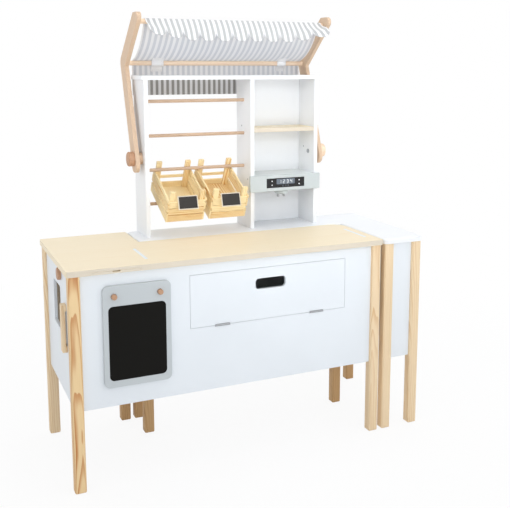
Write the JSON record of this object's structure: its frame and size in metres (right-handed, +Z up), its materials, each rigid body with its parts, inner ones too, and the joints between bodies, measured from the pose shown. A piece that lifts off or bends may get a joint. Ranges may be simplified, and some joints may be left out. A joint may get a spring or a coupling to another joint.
{
  "type": "toy market stall",
  "caption": "Toy market stall: L-shaped wood-topped counter with flap door and chalk board, nested with a white shelf table that carries tilted crates and a striped tilting awning.",
  "frame": {"origin": "on the floor, in the middle of the stall's overall length and depth", "axes": "+X to the right and +Y to the back as seen from the customer's side, +Z up"},
  "size_m": [1.038, 0.4682, 1.2194],
  "materials": {
    "birch": "clear lacquered pale plywood",
    "pine": "clear lacquered solid wood with visible grain",
    "white_paint": "satin white painted fibreboard",
    "beech": "clear lacquered turned and sawn wood",
    "hardboard": "raw brown fibreboard",
    "grey_paint": "satin pale blue-grey paint",
    "chalk_black": "matt black chalk paint",
    "display_black": "glossy printed panel",
    "steel": "zinc plated",
    "crate_pine": "raw planed pine slats",
    "striped_cloth": "light grey and white striped cotton",
    "white_tape": "woven white cotton tape"
  },
  "bodies": {
    "counter": {"counter_top": "birch", "counter_leg_front_left": "pine", "counter_leg_front_right": "pine", "counter_leg_back_left": "pine", "counter_leg_back_right": "pine", "counter_leg_wing_back": "pine", "counter_front_panel": "white_paint", "counter_side_panel": "white_paint", "counter_partition": "white_paint", "counter_end_panel": "white_paint", "wing_back_panel": "hardboard", "storage_shelf": "white_paint", "flap_catch": "beech", "board_runners": "beech", "side_knob": "beech", "side_handle": "pine", "chalk_pegs": "beech", "hinge_frame_leaves": "steel"},
    "pull_board": {"pull_out_board": "birch"},
    "chalk_sign": {"chalk_board": "grey_paint", "chalk_field": "chalk_black"},
    "flap": {"flap_door": "white_paint", "hinge_flap_leaves": "steel"},
    "shelf_table": {"table_top": "white_paint", "table_leg_back_left": "pine", "table_leg_front_left": "pine", "table_leg_wing_left": "pine", "table_leg_wing_right": "pine", "table_leg_back_right": "pine", "wing_front_panel": "white_paint", "wing_side_panel": "white_paint", "table_back_apron": "white_paint", "shelf_left_panel": "white_paint", "shelf_divider": "white_paint", "shelf_right_panel": "white_paint", "shelf_top_board": "white_paint", "shelf_back_panel": "white_paint", "bay_shelf": "birch", "display_rails": "beech", "machine_front": "grey_paint", "machine_top": "grey_paint", "machine_display": "display_black", "brew_head": "beech", "brew_spouts": "steel", "pivot_bolts": "steel", "arm_spacers": "beech", "stop_pegs": "beech"},
    "awning": {"arm_left": "beech", "arm_right": "beech", "front_rod": "beech", "middle_rod": "beech", "awning_sheet": "striped_cloth", "awning_valance": "striped_cloth", "rod_ties": "white_tape"},
    "left_knob": {"knob_left": "beech"},
    "right_knob": {"knob_right": "beech"},
    "left_crate": {"crate_left": "crate_pine", "crate_left_label": "chalk_black"},
    "right_crate": {"crate_right": "crate_pine", "crate_right_label": "chalk_black"}
  },
  "joints": [
    {"name": "table_moves_apart", "type": "slide", "parent": "counter", "child": "shelf_table", "axis": [1, 0, 0], "range_m": [0, 0.25]},
    {"name": "flap_hinge", "type": "hinge", "parent": "counter", "child": "flap", "pos_m": [0, -0.21461, 0.39055], "axis": [1, 0, 0], "range_deg": [0, 170]},
    {"name": "pull_board_slide", "type": "slide", "parent": "counter", "child": "pull_board", "axis": [0, -1, 0], "range_m": [0, 0.1]},
    {"name": "chalk_sign_lifts_off", "type": "slide", "parent": "counter", "child": "chalk_sign", "axis": [0, -1, 0], "range_m": [0, 0.04]},
    {"name": "awning_tilt", "type": "hinge", "parent": "shelf_table", "child": "awning", "pos_m": [0, 0.11039, 0.807], "axis": [1, 0, 0], "range_deg": [0, 8]},
    {"name": "left_knob_turn", "type": "hinge", "parent": "shelf_table", "child": "left_knob", "pos_m": [0, 0.11039, 0.807], "axis": [1, 0, 0], "continuous": true},
    {"name": "right_knob_turn", "type": "hinge", "parent": "shelf_table", "child": "right_knob", "pos_m": [0, 0.11039, 0.807], "axis": [1, 0, 0], "continuous": true},
    {"name": "left_crate_lifts_off", "type": "slide", "parent": "shelf_table", "child": "left_crate", "axis": [0, 0.8949, 0.4462], "range_m": [0, 0.06]},
    {"name": "right_crate_lifts_off", "type": "slide", "parent": "shelf_table", "child": "right_crate", "axis": [0, 0.8949, 0.4462], "range_m": [0, 0.06]}
  ]
}
